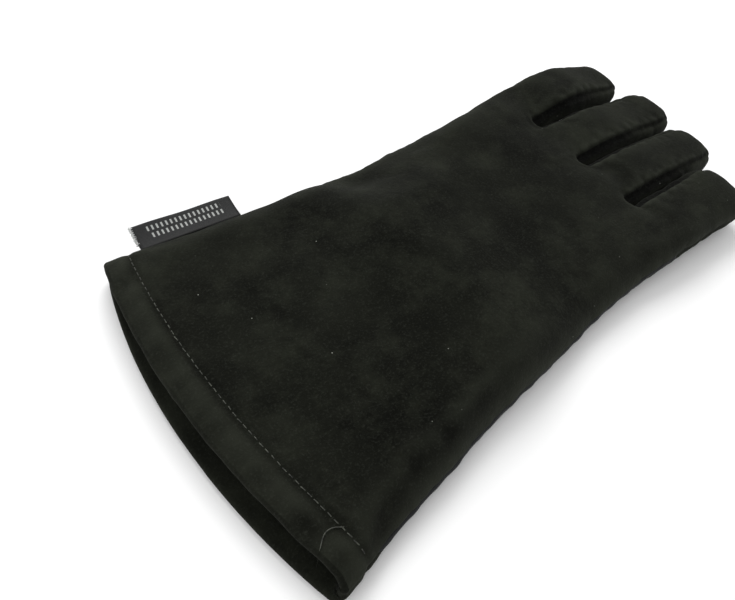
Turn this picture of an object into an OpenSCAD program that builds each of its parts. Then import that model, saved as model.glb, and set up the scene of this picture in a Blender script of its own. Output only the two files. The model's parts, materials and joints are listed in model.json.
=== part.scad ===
// Heat resistant gauntlet glove for the right hand, lying on its palm with the thumb folded
// under it. X runs from the cuff mouth to the fingertips, Y to the thumb side, Z up.
// The origin is the centre of the bounding box's underside. All sizes are in millimetres.

/* [Cuff] */
// Length of the gauntlet cuff, from its mouth to the wrist crease
cuff_len = 124; // [90:1:170]
// Width of the cuff at its mouth, lying flat
cuff_w = 200; // [170:1:230]
// Height of the cuff at its mouth
mouth_h = 20; // [16:1:26]
// Height of the cuff at the wrist crease
wrist_h = 30; // [24:1:36]
// Distance from the mouth to the palm band of smooth leather
band_start = 64; // [45:1:80]
// Width of the turned-in hem
hem_w = 20; // [12:1:24]

/* [Hand] */
// Length of the hand, from the wrist crease to the knuckle line
palm_len = 134; // [110:1:160]
// Length past the wrist crease over which the sides still taper
taper_len = 56; // [30:1:80]
// Width across the knuckles
hand_w = 148; // [132:1:170]
// Sideways step of the hand's centre line towards the thumb side
hand_shift = 12; // [0:1:18]
// Thickness of the hand
hand_h = 22; // [20:1:28]

/* [Fingers] */
// Length of the index finger past the knuckle line
index_len = 90; // [75:1:105]
// Length of the middle finger past the knuckle line
middle_len = 102; // [96:1:115]
// Length of the ring finger past the knuckle line
ring_len = 96; // [80:1:110]
// Length of the little finger past the knuckle line
little_len = 75; // [60:1:90]
// Thickness of a finger
finger_h = 20; // [17:1:22]
// Gap between two fingers
finger_gap = 2.5; // [1.5:0.5:5]

/* [Thumb] */
// Length of the thumb, from the middle of its root to its tip
thumb_len = 76; // [66:1:90]
// Width of the thumb
thumb_w = 38; // [32:1:40]
// Thickness of the folded thumb
thumb_h = 12; // [11:0.5:14]
// Distance from the wrist crease to the middle of the thumb's root
thumb_back = 26; // [24:1:32]
// Distance from the thumb's centre line to the hand's thumb-side edge
thumb_in = 28; // [22:1:36]
// Radius of the passage from the palm into the thumb
passage_r = 14.5; // [12:0.5:15]

/* [Materials] */
// Thickness of the suede leather
leather_t = 1.8; // [1.4:0.1:2]
// Thickness of the cotton lining
lining_t = 1.2; // [0.8:0.1:1.5]

/* [Label] */
// Length of the woven loop label along the side seam
label_w = 56; // [40:1:70]
// How far the label stands out of the seam
label_out = 14; // [10:1:20]
// Distance from the mouth to the label
label_start = 21; // [16:1:30]

/* [Movement] */
// Downward bend of each finger joint, in degrees
finger_bend = 60; // [40:1:65]
// Upward bend of each finger joint, in degrees
finger_raise = 10; // [4:1:14]
// Bend of the wrist each way, in degrees
wrist_bend = 30; // [20:1:34]
// Inward bend of the thumb's own joint, in degrees
thumb_curl = 50; // [30:1:55]

/* [Hidden] */
$fn = 32;

suede = [0.13, 0.14, 0.12];
smooth_leather = [0.12, 0.13, 0.14];
cotton = [0.32, 0.32, 0.33];
thread = [0.36, 0.37, 0.33];
woven = [0.20, 0.20, 0.21];

knuckle_x = cuff_len + palm_len;
straight_x = cuff_len + taper_len;
finger_len = [index_len, middle_len, ring_len, little_len];
glove_len = knuckle_x + max(finger_len);
finger_pitch = hand_w / 4;
finger_w = finger_pitch - finger_gap;
finger_r = 4.5;
tip_plan_r = 12;
tip_side_r = 8;
tip_cap = 7;
body_r = 4.5;
joint_gap = 1;
reach = 60;
wall = leather_t + lining_t;

// The sides run straight from the cuff's corners to the hand's, past the wrist crease.
near_hand_y = hand_shift - hand_w / 2;
far_hand_y = hand_shift + hand_w / 2;
function near_y(x) = -cuff_w / 2 + (near_hand_y + cuff_w / 2) * min(x / straight_x, 1);
function far_y(x) = cuff_w / 2 + (far_hand_y - cuff_w / 2) * min(x / straight_x, 1);
far_angle = atan((far_hand_y - cuff_w / 2) / straight_x);

// The hand rolls up towards the thumb side, by as much as the thumb folded under it needs.
hand_lift = 2;
thumb_gap = 0.5;
thumb_x = cuff_len + thumb_back;
thumb_y = far_hand_y - thumb_in;
thumb_root_r = thumb_w / 2;
thumb_inner = thumb_y - thumb_root_r - near_hand_y;
thumb_drop = thumb_h + thumb_gap;
hand_tilt = 2 * atan((sqrt(thumb_inner ^ 2 + thumb_drop ^ 2 - hand_lift ^ 2) - thumb_inner)
                     / (hand_lift + thumb_drop));
thumb_joint_x = thumb_x + thumb_len / 2;
thumb_end = thumb_x + thumb_len;
thumb_cap = 6;

wrist_z = mouth_h / 2 + 2;
label_clear = 1.1;
label_t = 1.8;
label_slit = 0.4;
label_z = mouth_h / 2;
label_far_y = far_y(label_start) + (label_clear + label_out) * cos(far_angle);
y_mid = (label_far_y - cuff_w / 2) / 2;
welt_t = 1.2;
welt_h = 3;
welt_z = 7;
welt_clear = 0.05;

module placed() {
    translate([-glove_len / 2, -y_mid, 0]) children();
}

// The hand's own frame: its underside is Z = 0, rolled about its little-finger edge.
module hand_frame() {
    placed() translate([0, near_hand_y, hand_lift]) rotate([hand_tilt, 0, 0])
        translate([0, -near_hand_y, 0]) children();
}

module rounded_rect(w, h, r) {
    square([w - 2 * r, h], center = true);
    square([w, h - 2 * r], center = true);
    for (sx = [-1, 1], sy = [-1, 1])
        translate([sx * (w / 2 - r), sy * (h / 2 - r)]) circle(r);
}

// One thin cross-section of the cuff or the hand at x, shrunk all round by inset.
// The outside is rounded, and the room inside has square corners.
module section(x, bottom, top, inset) {
    width = far_y(x) - near_y(x) - 2 * inset;
    height = top - bottom - 2 * inset;
    translate([x, (near_y(x) + far_y(x)) / 2, (bottom + top) / 2]) rotate([90, 0, 90])
        linear_extrude(0.02, center = true)
            if (inset > 0) square([width, height], center = true);
            else rounded_rect(width, height, body_r - inset);
}

// Everything in front of a hinge line, with its faces leaning away by half of each bend.
module ahead_of(x, z, below, above) {
    rotate([90, 0, 0]) linear_extrude(600, center = true) polygon([
        [x + joint_gap / 2, z],
        [x + joint_gap / 2 + reach * tan(below / 2), z - reach],
        [x + 400, z - reach],
        [x + 400, z + reach],
        [x + joint_gap / 2 + reach * tan(above / 2), z + reach],
    ]);
}

module behind(x, z, below, above) {
    translate([2 * x, 0, 0]) mirror([1, 0, 0]) ahead_of(x, z, below, above);
}

// ---- Cuff ----

module cuff_solid(inset) {
    hull() {
        section(inset > 0 ? -1 : 0, 0, mouth_h, inset);
        section(cuff_len + 1, 0, wrist_h, inset);
    }
}

module cuff_zone() {
    intersection() {
        behind(cuff_len, wrist_z, wrist_bend, wrist_bend);
        translate([0, -200, -reach / 2]) cube([cuff_len, 400, 2 * reach]);
        children();
    }
}

// Back half of the cuff, wrapping round both sides down to the palm panels.
module cuff_back_panel() {
    placed() color(suede) cuff_zone() difference() {
        cuff_solid(0);
        cuff_solid(leather_t);
        translate([-1, -200, -1]) cube([cuff_len + 2, 400, leather_t + 1]);
    }
}

module cuff_floor(from, to) {
    cuff_zone() intersection() {
        cuff_solid(0);
        translate([from, -200, 0]) cube([to - from, 400, leather_t]);
    }
}

module cuff_palm_panel() {
    placed() color(suede) cuff_floor(0, band_start);
}

module wrist_palm_band() {
    placed() color(smooth_leather) cuff_floor(band_start, cuff_len);
}

// The end of the cuff's leather, turned in and lying flat against the inside.
module cuff_hem_turn_in() {
    placed() color(suede) intersection() {
        difference() {
            cuff_solid(leather_t);
            cuff_solid(wall);
        }
        translate([0, -200, 0]) cube([hem_w, 400, reach]);
    }
}

// One row of separate stitches across the cuff's back, just short of the turn-in's edge.
module hem_stitching() {
    stitch_len = 4;
    stitch_pitch = 6.5;
    stitch_w = 0.8;
    slope = atan((wrist_h - mouth_h) / (cuff_len + 1));
    run = cuff_w - 20;
    count = floor(run / stitch_pitch);
    placed() color(thread) translate([0, 0, mouth_h]) rotate([0, -slope, 0])
        for (i = [0 : count - 1])
            translate([hem_w - 4, (i - (count - 1) / 2) * stitch_pitch - stitch_len / 2, 0])
                cube([stitch_w, stitch_len, 0.4]);
}

module cuff_lining() {
    placed() color(cotton) cuff_zone() intersection() {
        difference() {
            cuff_solid(leather_t);
            cuff_solid(wall);
        }
        translate([hem_w, -200, 0]) cube([cuff_len, 400, reach]);
    }
}

// A strip of leather sewn into a side seam between two x positions where the side is straight.
// side is -1 on the little-finger side and 1 on the thumb side.
module side_welt(from, to, side) {
    y_from = side > 0 ? far_y(from) : near_y(from);
    y_to = side > 0 ? far_y(to) : near_y(to);
    run = to - from;
    translate([from, y_from, welt_z]) rotate([0, 0, atan((y_to - y_from) / run)])
        translate([0, side > 0 ? welt_clear : -welt_t - welt_clear, 0])
            cube([norm([run, y_to - y_from]), welt_t, welt_h]);
}

module cuff_side_welts() {
    placed() color(smooth_leather) cuff_zone() {
        side_welt(hem_w, cuff_len, -1);
        side_welt(label_start + label_w + 2, cuff_len, 1);
    }
}

// A woven tape folded into a loop, its open ends towards the seam.
module loop_label() {
    placed() color(woven) translate([label_start, far_y(label_start), label_z])
        rotate([0, 0, far_angle]) difference() {
            translate([0, label_clear, -label_t / 2]) cube([label_w, label_out, label_t]);
            translate([-1, label_clear - 1, -label_slit / 2])
                cube([label_w + 2, label_out, label_slit]);
        }
}

// ---- Hand ----

module hand_solid(inset) {
    hull() {
        section(cuff_len - 6, 0, hand_h, inset);
        section(straight_x, 0, hand_h, inset);
    }
    hull() {
        section(straight_x, 0, hand_h, inset);
        section(knuckle_x + 2, 0, hand_h, inset);
    }
}

// Trims a piece of the hand at the wrist crease and at the knuckle line.
module hand_zone() {
    intersection() {
        placed() ahead_of(cuff_len, wrist_z, wrist_bend, wrist_bend);
        hand_frame() intersection() {
            behind(knuckle_x, hand_h / 2, finger_bend, finger_raise);
            children();
        }
    }
}

module thumb_passage(r) {
    translate([thumb_x, thumb_y, -thumb_h]) cylinder(h = hand_h, r = r);
}

module hand_back_panel() {
    color(suede) hand_zone() difference() {
        hand_solid(0);
        hand_solid(leather_t);
        translate([0, -200, -1]) cube([400, 400, leather_t + 1]);
    }
}

module hand_palm_panel() {
    color(suede) hand_zone() difference() {
        intersection() {
            hand_solid(0);
            translate([0, -200, 0]) cube([400, 400, leather_t]);
        }
        thumb_passage(passage_r + welt_t);
    }
}

module hand_lining() {
    color(cotton) hand_zone() difference() {
        hand_solid(leather_t);
        hand_solid(wall);
        thumb_passage(passage_r);
    }
}

module hand_side_welts() {
    color(smooth_leather) hand_zone() for (side = [-1, 1]) {
        side_welt(cuff_len, straight_x - welt_t, side);
        side_welt(straight_x + welt_t, knuckle_x, side);
    }
}

// The roots of the fourchettes, closing the hand's front between each two fingers.
module finger_crotch_webs() {
    web_w = finger_gap + 2 * leather_t;
    web_len = 9;
    color(suede) hand_zone() for (i = [0 : 2])
        translate([knuckle_x - web_len, (finger_y(i) + finger_y(i + 1) - web_w) / 2, wall])
            cube([web_len, web_w, hand_h - 2 * wall]);
}

// The welt sewn round the hole in the palm panel that the thumb grows from.
module thumb_hole_welt() {
    color(smooth_leather) hand_zone() difference() {
        translate([thumb_x, thumb_y, 0]) cylinder(h = leather_t, r = passage_r + welt_t);
        thumb_passage(passage_r);
    }
}

// ---- Fingers, numbered 0 index, 1 middle, 2 ring, 3 little ----

function finger_y(i) = hand_shift + (1.5 - i) * finger_pitch;
function finger_end(i) = knuckle_x + finger_len[i];
function mid_joint_x(i) = knuckle_x + finger_len[i] / 2;
finger_z = (hand_h - finger_h) / 2;

// A finger with rounded sides and a tip that is rounded both in plan and from the side.
module finger_solid(i) {
    back_len = 40;
    length = back_len + finger_len[i];
    middle_x = finger_end(i) - length / 2;
    intersection() {
        translate([middle_x - length / 2, finger_y(i), hand_h / 2]) rotate([90, 0, 90])
            linear_extrude(length) rounded_rect(finger_w, finger_h, finger_r);
        translate([middle_x, finger_y(i), 0]) linear_extrude(hand_h)
            rounded_rect(length, finger_w, tip_plan_r);
        translate([middle_x, finger_y(i), hand_h / 2]) rotate([90, 0, 0])
            linear_extrude(finger_w, center = true)
                rounded_rect(length, finger_h, tip_side_r);
    }
}

// The room inside a finger, at a given distance from its outer faces.
module finger_room(i, t) {
    translate([knuckle_x - 30, finger_y(i) - finger_w / 2 + t, finger_z + t])
        cube([finger_len[i] + 30 - tip_cap - (t - leather_t), finger_w - 2 * t,
              finger_h - 2 * t]);
}

module base_zone(i) {
    hand_frame() intersection() {
        ahead_of(knuckle_x, hand_h / 2, finger_bend, finger_raise);
        behind(mid_joint_x(i), hand_h / 2, finger_bend, finger_raise);
        children();
    }
}

module tip_zone(i) {
    hand_frame() intersection() {
        ahead_of(mid_joint_x(i), hand_h / 2, finger_bend, finger_raise);
        children();
    }
}

module finger_floor(i) {
    translate([0, finger_y(i) - finger_w / 2 - 1, finger_z - 1])
        cube([finger_end(i) - tip_cap, finger_w + 2, leather_t + 1]);
}

// The side wall of a finger, on side -1 (little-finger side) or 1 (thumb side).
module finger_side(i, side) {
    translate([0, finger_y(i) + side * (finger_w - leather_t) / 2 - leather_t / 2,
               finger_z + leather_t])
        cube([finger_end(i) - tip_cap, leather_t, finger_h - 2 * leather_t]);
}

module finger_back(i, sides) {
    color(suede) difference() {
        finger_solid(i);
        finger_room(i, leather_t);
        finger_floor(i);
        for (side = sides) finger_side(i, side);
    }
}

module finger_palm(i) {
    color(suede) intersection() {
        finger_solid(i);
        finger_floor(i);
    }
}

module finger_fourchettes(i, sides) {
    color(suede) intersection() {
        finger_solid(i);
        union() for (side = sides) finger_side(i, side);
    }
}

module finger_lining(i) {
    color(cotton) difference() {
        finger_room(i, leather_t);
        finger_room(i, wall);
    }
}

module index_base_back() { base_zone(0) finger_back(0, [-1]); }
module index_base_palm() { base_zone(0) finger_palm(0); }
module index_base_fourchette() { base_zone(0) finger_fourchettes(0, [-1]); }
module index_base_lining() { base_zone(0) finger_lining(0); }
module index_tip_back() { tip_zone(0) finger_back(0, [-1]); }
module index_tip_palm() { tip_zone(0) finger_palm(0); }
module index_tip_fourchette() { tip_zone(0) finger_fourchettes(0, [-1]); }
module index_tip_lining() { tip_zone(0) finger_lining(0); }

module middle_base_back() { base_zone(1) finger_back(1, [-1, 1]); }
module middle_base_palm() { base_zone(1) finger_palm(1); }
module middle_base_fourchettes() { base_zone(1) finger_fourchettes(1, [-1, 1]); }
module middle_base_lining() { base_zone(1) finger_lining(1); }
module middle_tip_back() { tip_zone(1) finger_back(1, [-1, 1]); }
module middle_tip_palm() { tip_zone(1) finger_palm(1); }
module middle_tip_fourchettes() { tip_zone(1) finger_fourchettes(1, [-1, 1]); }
module middle_tip_lining() { tip_zone(1) finger_lining(1); }

module ring_base_back() { base_zone(2) finger_back(2, [-1, 1]); }
module ring_base_palm() { base_zone(2) finger_palm(2); }
module ring_base_fourchettes() { base_zone(2) finger_fourchettes(2, [-1, 1]); }
module ring_base_lining() { base_zone(2) finger_lining(2); }
module ring_tip_back() { tip_zone(2) finger_back(2, [-1, 1]); }
module ring_tip_palm() { tip_zone(2) finger_palm(2); }
module ring_tip_fourchettes() { tip_zone(2) finger_fourchettes(2, [-1, 1]); }
module ring_tip_lining() { tip_zone(2) finger_lining(2); }

module little_base_back() { base_zone(3) finger_back(3, [1]); }
module little_base_palm() { base_zone(3) finger_palm(3); }
module little_base_fourchette() { base_zone(3) finger_fourchettes(3, [1]); }
module little_base_lining() { base_zone(3) finger_lining(3); }
module little_tip_back() { tip_zone(3) finger_back(3, [1]); }
module little_tip_palm() { tip_zone(3) finger_palm(3); }
module little_tip_fourchette() { tip_zone(3) finger_fourchettes(3, [1]); }
module little_tip_lining() { tip_zone(3) finger_lining(3); }

// ---- Thumb, folded flat under the palm; its root turns on the passage's own axis ----

module thumb_solid() {
    plan_r = 14;
    side_r = 4;
    bar = thumb_end - thumb_x + plan_r;
    middle_x = thumb_end - bar / 2;
    translate([thumb_x, thumb_y, -thumb_gap - thumb_h])
        cylinder(h = thumb_h, r = thumb_root_r);
    intersection() {
        translate([thumb_x, thumb_y, -thumb_gap - thumb_h / 2]) rotate([90, 0, 90])
            linear_extrude(thumb_len) rounded_rect(thumb_w, thumb_h, side_r);
        translate([middle_x, thumb_y, -thumb_gap - thumb_h]) linear_extrude(thumb_h)
            rounded_rect(bar, thumb_w, plan_r);
    }
}

module thumb_room(t) {
    translate([thumb_x, thumb_y, -thumb_gap - thumb_h + t])
        cylinder(h = thumb_h - 2 * t, r = thumb_root_r - t);
    translate([thumb_x, thumb_y - thumb_w / 2 + t, -thumb_gap - thumb_h + t])
        cube([thumb_len - thumb_cap - (t - leather_t), thumb_w - 2 * t, thumb_h - 2 * t]);
}

// Everything past the thumb's own joint, with its faces leaning away by half of the curl.
module past_thumb_joint() {
    x = thumb_joint_x + joint_gap / 2;
    translate([0, 0, -reach]) linear_extrude(2 * reach) polygon([
        [x, thumb_y],
        [x + reach * tan(thumb_curl / 2), thumb_y - reach],
        [x + 400, thumb_y - reach],
        [x + 400, thumb_y + reach],
        [x + reach * tan(finger_raise / 2), thumb_y + reach],
    ]);
}

module thumb_base_zone() {
    hand_frame() intersection() {
        translate([2 * thumb_joint_x, 0, 0]) mirror([1, 0, 0]) past_thumb_joint();
        children();
    }
}

module thumb_tip_zone() {
    hand_frame() intersection() {
        past_thumb_joint();
        children();
    }
}

module thumb_roof() {
    translate([0, -200, -thumb_gap - leather_t]) cube([400, 400, leather_t + 1]);
}

module thumb_back() {
    color(suede) difference() {
        thumb_solid();
        thumb_room(leather_t);
        thumb_roof();
    }
}

module thumb_front() {
    color(suede) difference() {
        intersection() {
            thumb_solid();
            thumb_roof();
        }
        thumb_passage(passage_r);
    }
}

module thumb_lining() {
    color(cotton) difference() {
        thumb_room(leather_t);
        thumb_room(wall);
        translate([0, 0, thumb_h / 2]) thumb_passage(passage_r);
    }
}

module thumb_base_back() { thumb_base_zone() thumb_back(); }
module thumb_base_front() { thumb_base_zone() thumb_front(); }
module thumb_base_lining() { thumb_base_zone() thumb_lining(); }
module thumb_tip_back() { thumb_tip_zone() thumb_back(); }
module thumb_tip_front() { thumb_tip_zone() thumb_front(); }
module thumb_tip_lining() { thumb_tip_zone() thumb_lining(); }

cuff_back_panel();
cuff_palm_panel();
wrist_palm_band();
cuff_hem_turn_in();
hem_stitching();
cuff_lining();
cuff_side_welts();
loop_label();
hand_back_panel();
hand_palm_panel();
hand_lining();
hand_side_welts();
finger_crotch_webs();
thumb_hole_welt();
index_base_back();
index_base_palm();
index_base_fourchette();
index_base_lining();
index_tip_back();
index_tip_palm();
index_tip_fourchette();
index_tip_lining();
middle_base_back();
middle_base_palm();
middle_base_fourchettes();
middle_base_lining();
middle_tip_back();
middle_tip_palm();
middle_tip_fourchettes();
middle_tip_lining();
ring_base_back();
ring_base_palm();
ring_base_fourchettes();
ring_base_lining();
ring_tip_back();
ring_tip_palm();
ring_tip_fourchettes();
ring_tip_lining();
little_base_back();
little_base_palm();
little_base_fourchette();
little_base_lining();
little_tip_back();
little_tip_palm();
little_tip_fourchette();
little_tip_lining();
thumb_base_back();
thumb_base_front();
thumb_base_lining();
thumb_tip_back();
thumb_tip_front();
thumb_tip_lining();
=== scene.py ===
import json
import math
import bpy
import numpy as np
from mathutils import Matrix, Vector, kdtree, noise
from mathutils.bvhtree import BVHTree


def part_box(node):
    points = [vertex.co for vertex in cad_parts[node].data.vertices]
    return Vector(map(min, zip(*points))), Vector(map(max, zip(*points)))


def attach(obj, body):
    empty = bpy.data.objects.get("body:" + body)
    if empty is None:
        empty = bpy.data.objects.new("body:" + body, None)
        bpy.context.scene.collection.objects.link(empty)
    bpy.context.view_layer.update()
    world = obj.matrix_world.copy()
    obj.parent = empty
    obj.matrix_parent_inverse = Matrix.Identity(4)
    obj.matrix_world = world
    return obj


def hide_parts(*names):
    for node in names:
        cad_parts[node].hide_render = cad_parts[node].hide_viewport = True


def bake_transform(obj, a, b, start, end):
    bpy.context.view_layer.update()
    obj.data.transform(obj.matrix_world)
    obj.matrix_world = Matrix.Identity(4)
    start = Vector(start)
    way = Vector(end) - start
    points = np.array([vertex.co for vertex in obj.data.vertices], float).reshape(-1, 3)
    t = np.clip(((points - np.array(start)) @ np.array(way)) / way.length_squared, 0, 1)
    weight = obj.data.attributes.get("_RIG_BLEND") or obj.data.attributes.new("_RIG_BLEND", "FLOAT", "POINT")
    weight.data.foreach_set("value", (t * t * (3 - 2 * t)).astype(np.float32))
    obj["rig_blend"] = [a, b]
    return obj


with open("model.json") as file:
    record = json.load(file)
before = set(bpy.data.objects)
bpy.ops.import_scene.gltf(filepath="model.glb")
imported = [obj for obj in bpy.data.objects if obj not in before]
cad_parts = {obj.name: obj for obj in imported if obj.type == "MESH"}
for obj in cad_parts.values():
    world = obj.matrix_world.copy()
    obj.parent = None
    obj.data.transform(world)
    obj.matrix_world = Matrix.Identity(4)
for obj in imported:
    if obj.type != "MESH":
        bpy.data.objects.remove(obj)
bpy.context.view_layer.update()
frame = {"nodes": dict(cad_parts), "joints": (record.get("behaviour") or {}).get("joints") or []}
bpy.ops.object.select_all(action="DESELECT")

# ---- Camera, light and floor ----
# The glove lies flat on a pale table, its open cuff towards the viewer's left,
# seen from above the little-finger side of the cuff.

view_yaw, view_down, view_roll = math.radians(44.02), math.radians(47.89), math.radians(9.11)
ahead = Vector((math.cos(view_yaw) * math.cos(view_down),
                math.sin(view_yaw) * math.cos(view_down), -math.sin(view_down)))
level = Vector((math.sin(view_yaw), -math.cos(view_yaw), 0))
upright = level.cross(ahead)
right = level * math.cos(view_roll) + upright * math.sin(view_roll)
up = upright * math.cos(view_roll) - level * math.sin(view_roll)
bpy.ops.object.camera_add(location=(-0.2714, -0.1781, 0.2978))
camera = bpy.context.object
camera.name = "camera"
camera.rotation_mode = "QUATERNION"
camera.rotation_quaternion = Matrix([list(row) for row in zip(right, up, -ahead)]).to_quaternion()
camera.data.lens = 38.2
camera.data.clip_start = 0.01
bpy.context.scene.camera = camera
bpy.context.scene.view_settings.view_transform = "Standard"

bpy.ops.mesh.primitive_plane_add(size=6, location=(0, 0, -0.0006))
floor = bpy.context.object
floor.name = "table"
table_finish = bpy.data.materials.new("table")
table_finish.use_nodes = True
shader = table_finish.node_tree.nodes["Principled BSDF"]
shader.inputs["Base Color"].default_value = (0.92, 0.92, 0.92, 1)
shader.inputs["Roughness"].default_value = 0.8
shader.inputs["Specular IOR Level"].default_value = 0.1
floor.data.materials.append(table_finish)

world = bpy.data.worlds.new("studio")
bpy.context.scene.world = world
world.use_nodes = True
world.node_tree.nodes["Background"].inputs["Color"].default_value = (1, 1, 1, 1)
world.node_tree.nodes["Background"].inputs["Strength"].default_value = 0.62


def soft_box(name, place, size, power):
    bpy.ops.object.light_add(type="AREA", location=place)
    lamp = bpy.context.object
    lamp.name = name
    lamp.data.shape = "SQUARE"
    lamp.data.size = size
    lamp.data.energy = power
    lamp.rotation_mode = "QUATERNION"
    lamp.rotation_quaternion = Vector(place).to_track_quat("Z", "Y")


soft_box("back_light", (0.35, 0.85, 1.1), 0.9, 15)
soft_box("front_light", (-1.0, -0.3, 1.2), 1.4, 8)

# ---- Leather shell ----
# One tube of soft split leather: a wide cuff narrowing to the wrist, the hand, and four
# fingers side by side. Every panel is cut from this shell, so neighbours meet at their seams.

MM = 0.001
FINGERS = ("little", "ring", "middle", "index")
joints = {j["name"]: [v / MM for v in j["pos_m"]] for j in frame["joints"]}
mouth_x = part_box("cuff_back_panel")[0].x / MM
knuckle_x = joints["index_knuckle"][0]
wrist_x = joints["wrist_flex"][0]
knuckle_axis = next(j for j in frame["joints"] if j["name"] == "index_knuckle")["axis"]
roll = math.atan2(knuckle_axis[2], knuckle_axis[1])
finger_pitch, finger_half_w, finger_half_h = 37.0, 17.7, 10.2
hand_w, hand_h = 4 * finger_pitch, 22.0
tip_len, tip_power = 21.0, 3.0
tip_short = (3.0, 0, 0.5, 0.5)
tip_droop = (1.0, 7.5, 9.5, 7.5)
index_arch = 3.5
cuff_taper, cuff_flare, near_flare = 180.0, 52.0, 38.0
side_seam_h, back_curve, palm_curve = 7.5, 17.0, 9.0
knuckle_reach, finger_fold = 18.0, 9.0
hand_near = (joints["little_knuckle"][1] - math.cos(roll) * finger_pitch / 2
             + math.sin(roll) * hand_h / 2)
hand_low = (joints["little_knuckle"][2] - math.sin(roll) * finger_pitch / 2
            - math.cos(roll) * hand_h / 2)
across_finger, down_side, across_crotch = 8, 4, 2


def ease(t):
    t = min(max(t, 0.0), 1.0)
    return t * t * (3 - 2 * t)


def flare(x):
    """1 at the mouth, falling to 0 where the cuff's taper ends."""
    return 1 - min((x - mouth_x) / cuff_taper, 1)


def section_place(x, s, h):
    """A point s from the near edge and h above the underside, at x along the glove."""
    turn = ease((x - mouth_x - 82) / 60)
    y0, z0, phi = hand_near - near_flare * flare(x), turn * hand_low, turn * roll
    return (x, y0 + s * math.cos(phi) - h * math.sin(phi),
            z0 + s * math.sin(phi) + h * math.cos(phi))


def swell(x, middle, spread):
    """1 at middle (measured from the mouth), fading out over spread on both sides."""
    return math.exp(-((x - mouth_x - middle) / spread) ** 2)


def near_bulge(x):
    """How far the little-finger side stands out past its straight line."""
    return (6.5 * swell(x, 186, 34) + 4.0 * swell(x, 138, 28) + 1.8 * swell(x, 80, 40)
            + 4.2 * swell(x, 262, 34))


def section_width(x):
    return (hand_w + cuff_flare * flare(x) + near_bulge(x)
            - 3.5 * swell(x, 138, 26) + 2.5 * swell(x, 30, 34))


def section_height(x):
    along = x - mouth_x
    return 19 + 8 * ease(along / 115) - 5 * ease((along - 115) / 60)


def rounded(a, b, c, power):
    """A point of the unit box (a, b, c) pushed on to a rounded box."""
    r = (abs(a) ** power + abs(b) ** power + abs(c) ** power) ** (1 / power)
    return a / r, b / r, c / r


def pitch_middle(i):
    return finger_pitch * (i + 0.5)


def finger_local(i, a, b, c, x):
    """A point of finger i's rounded tube. a runs across it, b into its tip, c down it."""
    grow = 1 - 0.05 * ease((x - knuckle_x) / 60)
    pa, pb, pc = rounded(a, b, c, tip_power)
    s = pitch_middle(i) + finger_half_w * pa
    if FINGERS[i] == "little":
        s -= 2.1 * (1 - pa)
    outward = x + tip_len * pb - knuckle_x
    droop = tip_droop[i] * ease((outward - 14) / 76) ** 1.5
    if FINGERS[i] == "index":
        droop -= index_arch * ease(outward / 30) * (1 - ease((outward - 40) / 40))
    return s, hand_h / 2 + finger_half_h * grow * pc - droop


per_finger = across_finger + across_crotch
top_columns = 4 * across_finger + 3 * across_crotch


def knuckle_local(column, side):
    """Where a top (side 1) or palm (side -1) column meets the knuckle line."""
    i, k = divmod(column, per_finger)
    if k <= across_finger:
        return finger_local(i, -1 + 2 * k / across_finger, 0, side, knuckle_x)
    return finger_pitch * (i + 1), hand_h / 2 + side * (finger_half_h * 0.79 - 1.0)


first_s = knuckle_local(0, 1)[0]
last_s = knuckle_local(top_columns, 1)[0]


def wide_local(x, column, row):
    """A point of the cuff's or hand's flat tube. row 0 is the back sheet, down_side the palm
    sheet, and the rows between run down the near (column 0) or far side."""
    width, high = section_width(x), section_height(x)
    if row in (0, down_side):
        inset = back_curve * 0.36 if row == 0 else palm_curve * 0.5
        share = (knuckle_local(column, 1)[0] - first_s) / (last_s - first_s)
        s = inset + share * (width - 2 * inset)
        edge = min(s, width - s)
        if row == 0:
            rise = math.sqrt(max(0, 1 - (1 - min(edge / back_curve, 1)) ** 2))
            crown = 1 - (2 * s / width - 1) ** 2
            return s - near_bulge(x), side_seam_h + (high - side_seam_h - 2 + 2 * crown) * rise
        drop = math.sqrt(max(0, 1 - (1 - min(edge / palm_curve, 1)) ** 2))
        return s - near_bulge(x), side_seam_h * (1 - drop)
    angle = math.radians({1: 25, 2: 0, 3: -30}[row])
    if angle >= 0:
        edge = back_curve * (1 - math.cos(angle))
        h = side_seam_h + (high - 2 - side_seam_h) * math.sin(angle)
    else:
        edge = palm_curve * (1 - math.cos(angle))
        h = side_seam_h + side_seam_h * math.sin(angle)
    return (edge if column == 0 else width - edge) - near_bulge(x), h


def mouth_curve(x, from_near, row):
    """The mouth is cut in a shallow curve, longest in the middle and longer on the palm side."""
    fade = max(0, 1 - (x - mouth_x) / 60)
    across = from_near / section_width(x)
    middle = 1 - (2 * across - 1) ** 2
    palm_longer = (4.2 * (1 - across ** 2) - 2 * across ** 4) * row / down_side
    return -fade * (12 * middle + palm_longer - 2.5 * max(0, across) ** 8)


def shell_point(x, column, row):
    """A corner of the gauntlet's grid, easing from the flat tube into the four fingers."""
    s, h = wide_local(x, column, row)
    near_knuckles = ease((x - knuckle_x + 40) / 40)
    if near_knuckles > 0:
        if row in (0, down_side):
            fs, fh = knuckle_local(column, 1 if row == 0 else -1)
        else:
            i = 0 if column == 0 else 3
            fs, fh = finger_local(i, -1 if column == 0 else 1, 0, 1 - 2 * row / down_side, x)
        s, h = s + (fs - s) * near_knuckles, h + (fh - h) * near_knuckles
    # Round the wrist the thumb side lies thin and low over the folded thumb.
    from_near = s + near_bulge(x)
    flat = ease((from_near - section_width(x) + 52) / 40)
    h *= 1 - flat * (0.62 * swell(x, 136, 24) + 0.28 * swell(x, 176, 20))
    return section_place(x + mouth_curve(x, from_near, row), s, h)


points, quads, panels, zones = [], [], [], []
BACK, PALM, GUSSET, CUFF_PALM, BAND = range(5)
GAUNTLET = 0


def add_point(p):
    points.append(p)
    return len(points) - 1


def add_quad(corners, panel, zone):
    quads.append(corners)
    panels.append(panel)
    zones.append(zone)


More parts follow.
